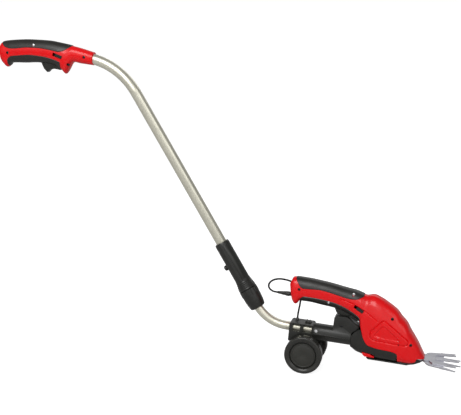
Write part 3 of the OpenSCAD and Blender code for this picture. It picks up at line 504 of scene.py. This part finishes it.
def domed(end, centre_z, depth, steps=4):
    """Rings that close a grid's end over a shallow dome. centre_z is the end's middle height."""
    out = []
    for k in range(steps, 0, -1):
        t = math.radians(88 * k / steps)
        ring = end.copy()
        ring[:, 1] *= math.cos(t)
        ring[:, 2] = centre_z + (ring[:, 2] - centre_z) * math.cos(t)
        ring[:, 0] -= depth * math.sin(t)
        out.append(ring)
    return out


def grid_normals(g):
    """Outward unit normals of a grid of points, taking +x, then down the right-hand side."""
    n = np.cross(np.gradient(g, axis=0), np.gradient(g, axis=1))
    n /= np.maximum(1e-9, np.linalg.norm(n, axis=2, keepdims=True))
    return n


SEAM = 0.05                 # mm, how far each half stays from the middle plane
END_DEPTH = (1.2, 0.3)      # mm, how far the outer and inner skins bulge at each end


def half_shell(name, node, form, stations, low, side, offset, cols, depth=None, cutters=()):
    """One moulded half of a housing, from the top seam down to the height curve `low`. side is 1
    for the left and -1 for the right, and depth(x, z) sinks its face."""
    outer, inner = [], []
    for x in stations:
        x_in = min(max(x, stations[0] + WALL), stations[-1] - WALL)
        a = angle_at(form, x, value(low, x))
        for rows, xx, inset in ((outer, x, 0.0), (inner, x_in, WALL)):
            p = arc(form, xx, 0, a, cols, inset)[0]
            p[:, 1] = np.maximum(SEAM, p[:, 1])
            rows.append(p)
    for rows, d in zip((outer, inner), END_DEPTH):
        for end, sign in ((0, 1), (-1, -1)):
            mid = (rows[end][0, 2] + rows[end][-1, 2]) / 2
            caps = domed(rows[end], mid, d * sign)
            if end == 0:
                rows[:0] = caps
            else:
                rows.extend(caps[::-1])
        for r in rows:
            r[:, 1] = np.maximum(SEAM, r[:, 1])
    outer = np.array(outer)
    if depth:
        n = grid_normals(outer)
        n *= np.sign(n[:, cols // 2:cols // 2 + 1, 1:2] + 1e-12)
        sunk = np.array([[depth(p[0], p[2]) for p in ring] for ring in outer])
        outer -= n * sunk[:, :, None]
    outer[:, :, 1] *= side
    inner = np.array(inner)
    inner[:, :, 1] *= side
    return place(name, carved(name, closed_skin(name, outer, inner), cutters), RED, node, offset)


PAD_THICK, PAD_ROLL = 1.2, 1.5      # mm, a soft grip's thickness and its border's radius


def soft_pad(name, node, form, ends, edge, over, offset, cols, cutters=()):
    """A soft grip over both sides of a form, with rounded borders. It lies above the height curve
    `edge` when `over` is true, and below it otherwise."""
    x0, x1 = ends
    stations = spaced([(x0, 0.3), (x0 + 1.5, 0.75), (x0 + 6, 2.0), (x1 - 6, 0.75),
                       (x1 - 1.5, 0.3), (x1, None)])
    outer, inner = [], []
    for x in stations:
        a = angle_at(form, x, value(edge, x))
        p, t, length = arc(form, x, -a if over else a, a if over else 360 - a, cols)
        d = np.gradient(p, axis=0)
        n = np.stack([np.zeros(cols), -d[:, 2], d[:, 1]], axis=1)
        n /= np.maximum(1e-9, np.linalg.norm(n, axis=1, keepdims=True))
        if (n[cols // 2, 2] > 0) != over:
            n = -n
        reach = np.minimum(np.minimum(t, length - t), min(x - x0, x1 - x) + 0.02)
        bend = 1 - np.minimum(1, reach / PAD_ROLL)
        lift = PAD_THICK * np.sqrt(np.maximum(0, 1 - bend ** 2))
        outer.append(p + n * lift[:, None])
        inner.append(p - n * 0.3)
    skin = closed_skin(name, np.array(outer), np.array(inner))
    return place(name, carved(name, skin, cutters), GRIP, node, offset)


def near_line(points, x, z):
    """The distance from (x, z) to a polyline in the side view."""
    best = 1e9
    for (ax, az), (bx, bz) in zip(points, points[1:]):
        ux, uz = bx - ax, bz - az
        t = max(0.0, min(1.0, ((x - ax) * ux + (z - az) * uz) / (ux * ux + uz * uz)))
        best = min(best, math.hypot(x - ax - t * ux, z - az - t * uz))
    return best


def rounded(points, r, steps=5):
    """A closed outline with its corners rounded, in the side view."""
    out, n = [], len(points)
    for i in range(n):
        p, a, b = (np.array(points[k % n], float) for k in (i, i - 1, i + 1))
        u, v = (a - p) / np.linalg.norm(a - p), (b - p) / np.linalg.norm(b - p)
        half = math.acos(max(-1, min(1, float(u @ v)))) / 2
        d = min(r / math.tan(half), np.linalg.norm(a - p) * 0.45, np.linalg.norm(b - p) * 0.45)
        for k in range(steps + 1):
            t = k / steps
            q = (p + u * d) * (1 - t) ** 2 + 2 * p * t * (1 - t) + (p + v * d) * t ** 2
            out.append((float(q[0]), float(q[1])))
    return out


def within(points, x, z):
    """Whether (x, z) lies inside a closed outline."""
    inside, n = False, len(points)
    for i in range(n):
        (ax, az), (bx, bz) = points[i], points[i - 1]
        if (az > z) != (bz > z) and x < (bx - ax) * (z - az) / (bz - az) + ax:
            inside = not inside
    return inside


def surface_y(form, x, z):
    """The half width of the form at a point of its side view."""
    return float(on_form(form, x, angle_at(form, x, z))[0])


SEAT_R, SEAT_DEPTH = 3.02, 2.6      # mm


def screw_seats(form, points):
    """Cutters for the round seats of screws on the right side."""
    return [round_prism(x, z, SEAT_R, -60, -surface_y(form, x, z) + SEAT_DEPTH)
            for x, z in points]


# ---- upper handle --------------------------------------------------------------------------------

POLE_STATIONS = spaced([(-74.8, 0.4), (-72, 1.0), (-48, 2.2), (40, 1.2), (96, 2.4), (130, 0.7),
                        (132, None)])
TUBE_TILT = math.radians(8.5)       # the tube slopes down to the front, out of the handle
TUBE_END = Vector((94.0, 0, 2.0)) * MM
BORE_R, BORE_LENGTH = 11.05, 60


def handle_bore():
    """The cutter for the tube's bore, along the slope of the handle's front."""
    o = linked("bore", lathe(
        "bore", [(0, 0), (BORE_R, 0), (BORE_R, BORE_LENGTH), (0, BORE_LENGTH)], 72))
    o.matrix_world = (Matrix.Translation(TUBE_END)
                      @ Matrix.Rotation(math.pi / 2 + TUBE_TILT, 4, "Y"))
    return o


for side, word in ((-1, "right"), (1, "left")):
    tools = [box_cutter(*POLE_SLOT), handle_bore()]
    if side < 0:
        tools += [slot_prism(58, -3, 16, 21, 6.6, -40, -9), *screw_seats(POLE, POLE_SCREWS)]
    half_shell(f"handle_shell_{word}", f"pole_handle_{word}", POLE, POLE_STATIONS,
               POLE["low"], side, None, 44, cutters=tools)

soft_pad("handle_top_pad", "pole_top_grip", POLE, (-69, 84), POLE_PAD, True, None, 49,
         screw_seats(POLE, POLE_SCREWS[:1]))
soft_pad("handle_lower_pad", "pole_lower_grip", POLE, (-54, 64), POLE_STRIP, False, None, 45,
         [box_cutter(*POLE_SLOT)])

# ---- shears housing ------------------------------------------------------------------------------

SOCKET_Z = 148
SHEARS_STATIONS = spaced([(-44, 0.4), (-38, 1.0), (-20, 2.0), (56, 1.1), (100, 0.6), (114, 0.8),
                          (182, 0.3), (186, 0.8), (216, 0.6), (224, 0.9), (235, None)])
PANEL = rounded([(150, 131), (126, 103), (126, 92), (132, 87), (199, 85), (204, 94)], 7)
PANEL_LOOP = PANEL + PANEL[:1]
FRAME = rounded([(150, 121.5), (131, 95), (192, 90.5)], 5)
FRAME_LOOP = FRAME + FRAME[:1]
GROOVE = [(60, 158.5), (84, 152.5), (108, 142.5), (124, 135), (138, 127)]
GROOVE_DEPTH = 1.9                  # mm, of the groove and of the panel's outline
GROOVE_WIDTH, PANEL_WIDTH = 0.9, 1.0
FRAME_DEPTH, FRAME_SLOPE = 1.2, 1.4
RIM_RISE, RIM_WIDTH = 0.25, 1.5     # the raised rim round the frame


def ditch(depth, gap, width):
    """How deep a rounded groove is at a distance from its line."""
    return depth * math.exp(-(gap / width) ** 2)


def relief_depth(x, z):
    """How far the side of the shears' housing is sunk at a point of the side view."""
    d = 0.0
    if 55 < x < 142 and 120 < z < 164:          # near the groove
        d += ditch(GROOVE_DEPTH, near_line(GROOVE, x, z), GROOVE_WIDTH)
    if 120 < x < 210 and 80 < z < 137:          # near the panel
        d += ditch(GROOVE_DEPTH, near_line(PANEL_LOOP, x, z), PANEL_WIDTH)
        gap = near_line(FRAME_LOOP, x, z)
        if within(FRAME, x, z):
            d += FRAME_DEPTH * min(1.0, gap / FRAME_SLOPE)
        else:
            d -= ditch(RIM_RISE, gap, RIM_WIDTH)
    return d


for side, word in ((-1, "right"), (1, "left")):
    tools = [box_cutter(*SHEARS_SLOT)]
    if side < 0:
        tools += [slot_prism(98.5, 143.5, 28, 21, 6.6, -40, -10),
                  *screw_seats(SHEARS, SHEARS_SCREWS)]
    tools.append(round_prism(0, 0, 4.15, -50, -36, 40))      # the socket, turned to face back
    tools[-1].matrix_world = (Matrix.Translation(Vector((0, 0, SOCKET_Z)) * MM)
                              @ Matrix.Rotation(-math.pi / 2, 4, "Z"))
    half_shell(f"shears_shell_{word}", f"shears_{word}", SHEARS, SHEARS_STATIONS,
               SHEARS_CUT, side, AXLE, 150, relief_depth, tools)

soft_pad("shears_top_pad", "shears_top_grip", SHEARS, (-33, 106), SHEARS_PAD, True, AXLE, 49,
         screw_seats(SHEARS, SHEARS_SCREWS[1:2]))
soft_pad("shears_lower_pad", "shears_lower_grip", SHEARS, (-22, 102.6), SHEARS_STRIP, False,
         AXLE, 45, [box_cutter(*SHEARS_SLOT),
                    *screw_seats(SHEARS, SHEARS_SCREWS[2:3])])

# The black underbody
outer, inner = [], []
for x in spaced([(88.6, 0.8), (112, 1.2), (126, 3), (182, None)]):
    a = angle_at(BASE, x, value(BASE_EDGE, x))
    for rows, inset in ((outer, 0.0), (inner, WALL)):
        rows.append(arc(BASE, max(x, 91.0) if inset else x, a, 360 - a, 61, inset)[0])
for rows, d in ((outer, 0.8), (inner, 0.3)):
    rows[:0] = domed(rows[0], float(rows[0][:, 2].mean()), d)
under = carved("under", closed_skin("underbody", np.array(outer), np.array(inner)),
               [box_cutter(113.4, 139.6, y - 15, y + 15, 49, 57.5) for y in (-25, 25)])
place("shears_underbody", under, BLACK, "shears_base", AXLE)

# ---- screws --------------------------------------------------------------------------------------


def star(r, depth):
    """A six-lobed drive recess as a cutter about +Z, its mouth at z = 0."""
    pts, n = [], 36
    for i in range(n):
        t = 2 * math.pi * i / n
        q = r * (0.86 + 0.14 * math.cos(6 * t))
        pts.append((q * math.cos(t), q * math.sin(t)))
    verts = [(x, y, -depth) for x, y in pts] + [(x, y, 1) for x, y in pts]
    faces = [tuple(range(n))[::-1], tuple(range(n, 2 * n))]
    faces += [(i, (i + 1) % n, (i + 1) % n + n, i + n) for i in range(n)]
    return linked("star", mesh_of("star", verts, faces))


def screw_mesh(r, head_h, shank_r, reach):
    """A pan-head screw along -Z, with the middle of its head's face at z = 0."""
    body = lathe("screw", [
        (0, 0), (r * 0.6, 0), (r * 0.9, -head_h * 0.18), (r, -head_h * 0.45), (r, -head_h),
        (shank_r, -head_h), (shank_r, -reach), (0, -reach)], 36)
    return carved("screw", body, [star(r * 0.5, head_h * 0.7)])


HEAD_H = 2.0      # mm


def screws(name, node, items, offset):
    """Screws from the right side, as one piece. The items are (x, z, y of the head's face, y of
    the tip, head radius, bright or not)."""
    bm = bmesh.new()
    for x, z, y0, y1, r, bright in items:
        part = screw_mesh(r, HEAD_H, min(1.5, r * 0.5), y1 - y0)
        part.transform(Matrix.Translation(Vector((x, y0, z)) * MM)
                       @ Matrix.Rotation(math.pi / 2, 4, "X"))
        first = len(bm.faces)
        bm.from_mesh(part)
        bm.faces.ensure_lookup_table()
        for f in bm.faces[first:]:
            f.material_index = 0 if bright else 1
    mesh = bpy.data.meshes.new(name)
    bm.to_mesh(mesh)
    bm.free()
    return place(name, mesh, [STEEL, DARK_STEEL], node, offset)


def face_y(form, x, z, padded):
    """Where a screw's face lies: in its seat, or level with the shell under a soft pad."""
    return -surface_y(form, x, z) + (-0.5 if padded else 0.6)


screws("handle_screws", "pole_handle_screws",
       [(x, z, face_y(POLE, x, z, k == 0), end, 3, k == 0)
        for k, ((x, z), end) in enumerate(zip(POLE_SCREWS, (6, 6, 3, -11.3)))], None)
screws("housing_screws", "shears_screws",
       [(x, z, face_y(SHEARS, x, z, k == 1), 6, 3, k in (1, 2))
        for k, (x, z) in enumerate(SHEARS_SCREWS)], AXLE)
screws("adapter_bolts", "adapter_screws",
       [(18, 83, -17.4, 11, 3.8, True), (68, 101, -13.6, 8, 2.6, False)], AXLE)

# ---- CAD pieces that are shown as they are -------------------------------------------------------

BEVEL = {      # node: width in mm
    "pole_trigger": 1.6, "shears_trigger": 1.6, "adapter_right": 0.8, "adapter_left": 0.8,
    "wheel_bracket": 1.0, "release_right": 0.9, "release_left": 0.9, "sole_plate": 0.8,
    "fixed_blade": 0.3, "moving_blade": 0.3, "clamp_sleeve": 0.4, "clamp_nut": 0.5,
    "latch_slider": 0.5, "wheel_right_cap": 0.3, "wheel_left_cap": 0.3, "lead_gland": 0.4,
    "upper_tube": 0.2, "lower_tube": 0.2, "sleeve_screw": 0.6, "pole_lock_slider": 0.3,
    "shears_lock_slider": 0.3, "wheel_right_rim": 0.4, "wheel_left_rim": 0.4,
}
FLAT = ("fixed_blade", "moving_blade")      # plates, shaded flat
for name, o in frame["nodes"].items():
    o.data.materials.clear()
    o.data.materials.append(LOOKS[SLOT[name]])
    weld = o.modifiers.new("weld", "WELD")
    weld.merge_threshold = 1e-6
    if name in FLAT:
        merge = o.modifiers.new("merge", "DECIMATE")
        merge.decimate_type = "DISSOLVE"
        merge.angle_limit = math.radians(1)
    if name in BEVEL:
        bevel = o.modifiers.new("bevel", "BEVEL")
        bevel.width = BEVEL[name] * MM
        bevel.segments = 3
        bevel.limit_method = "ANGLE"
        bevel.angle_limit = math.radians(35)
        bevel.miter_outer = "MITER_ARC"
    o.data.polygons.foreach_set("use_smooth", [True] * len(o.data.polygons))
    o.data.set_sharp_from_angle(angle=math.radians(CREASE))
    if name in FLAT:                        # after the line above, which would clear it
        o.data.polygons.foreach_set("use_smooth", [False] * len(o.data.polygons))

# The two return springs shorten as their triggers rise, but here they are shown by unchanged copies
# of
# their CAD meshes. The table holds: node, joint, the spring's top end, the share of the length that
# is left
SPRINGS = [
    ("pole_trigger_spring", "pole_trigger", (0.046, 0.0, -0.0013), 0.62),
    ("shears_trigger_spring", "shears_trigger", (0.691, 0.0, -0.434), 0.58),
]
for name, joint, top, keep in SPRINGS:
    coil = frame["nodes"][name].data.copy()
    coil.transform(frame["nodes"][name].matrix_world)
    coil.materials.clear()
    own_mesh(place(name + "_flex", coil, STEEL, name))

# ---- floor and light -----------------------------------------------------------------------------

FLOOR_Z = AXLE.z
FLOOR_REACH = 40.0
FLOOR_GLOW, BACKDROP = 0.8, 1.02      # seen by the camera only
floor_mesh = bpy.data.meshes.new("floor")
floor_mesh.from_pydata([(x * FLOOR_REACH, y * FLOOR_REACH, FLOOR_Z)
                        for x, y in ((-1, -1), (1, -1), (1, 1), (-1, 1))], [], [(0, 1, 2, 3)])
floor = linked("floor", floor_mesh)
floor_look = bpy.data.materials.new("floor")
floor_look.use_nodes = True
floor_shader = floor_look.node_tree.nodes["Principled BSDF"]
floor_shader.inputs["Base Color"].default_value = (0.6, 0.6, 0.6, 1)
floor_shader.inputs["Roughness"].default_value = 0.9
floor_shader.inputs["Emission Color"].default_value = (1, 1, 1, 1)
floor_ray = floor_look.node_tree.nodes.new("ShaderNodeLightPath")
glow = floor_look.node_tree.nodes.new("ShaderNodeMath")
glow.operation = "MULTIPLY"
glow.inputs[1].default_value = FLOOR_GLOW
floor_look.node_tree.links.new(floor_ray.outputs["Is Camera Ray"], glow.inputs[0])
floor_look.node_tree.links.new(glow.outputs["Value"], floor_shader.inputs["Emission Strength"])
floor_mesh.materials.append(floor_look)
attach(floor, "lower_pole")      # the wheels stay on the floor when the pole is drawn out

# The camera sees a white backdrop. Light and reflections come from this studio: (where along Y,
# from 0 on the camera's side to 1 behind the tool, and how bright)
STUDIO = [(0.0, 1.25), (0.1, 0.95), (0.3, 0.38), (0.55, 0.18), (0.8, 0.25), (0.95, 0.5)]
world = bpy.data.worlds.new("studio")
bpy.context.scene.world = world
world.use_nodes = True
nodes, links = world.node_tree.nodes, world.node_tree.links
background = nodes["Background"]
background.inputs["Color"].default_value = (1, 1, 1, 1)
direction = nodes.new("ShaderNodeTexCoord")
parts = nodes.new("ShaderNodeSeparateXYZ")
along = nodes.new("ShaderNodeMapRange")
along.inputs["From Min"].default_value = -1.0
ramp = nodes.new("ShaderNodeValToRGB")
ramp.color_ramp.interpolation = "EASE"
while len(ramp.color_ramp.elements) < len(STUDIO):
    ramp.color_ramp.elements.new(0.5)
for stop, (at, level) in zip(ramp.color_ramp.elements, STUDIO):
    stop.position = at
    stop.color = (level, level, level, 1)
links.new(direction.outputs["Generated"], parts.inputs["Vector"])
links.new(parts.outputs["Y"], along.inputs["Value"])
links.new(along.outputs["Result"], ramp.inputs["Fac"])
world_ray = nodes.new("ShaderNodeLightPath")
backdrop = nodes.new("ShaderNodeMix")
backdrop.inputs["B"].default_value = BACKDROP
links.new(world_ray.outputs["Is Camera Ray"], backdrop.inputs["Factor"])
links.new(ramp.outputs["Color"], backdrop.inputs["A"])
links.new(backdrop.outputs["Result"], background.inputs["Strength"])
bpy.context.scene.view_settings.view_transform = "Standard"


def softbox(name, at, target, size, power_w):
    """A rectangular area light at a place, aimed at a target."""
    data = bpy.data.lights.new(name, "AREA")
    data.shape = "RECTANGLE"
    data.size, data.size_y = size
    data.energy = power_w
    aim = Vector(target) - Vector(at)
    turn = aim.to_track_quat("-Z", "Y").to_matrix().to_4x4()
    linked(name, data).matrix_world = Matrix.Translation(at) @ turn


softbox("key", (0.0, -2.0, 1.3), (0.4, 0, -0.3), (1.6, 1.2), 34)
softbox("fill", (2.2, -1.2, 0.8), (0.5, 0, -0.3), (1.2, 1.2), 6)
softbox("rim", (0.6, 1.8, 1.2), (0.4, 0, -0.3), (2.0, 1.0), 8)
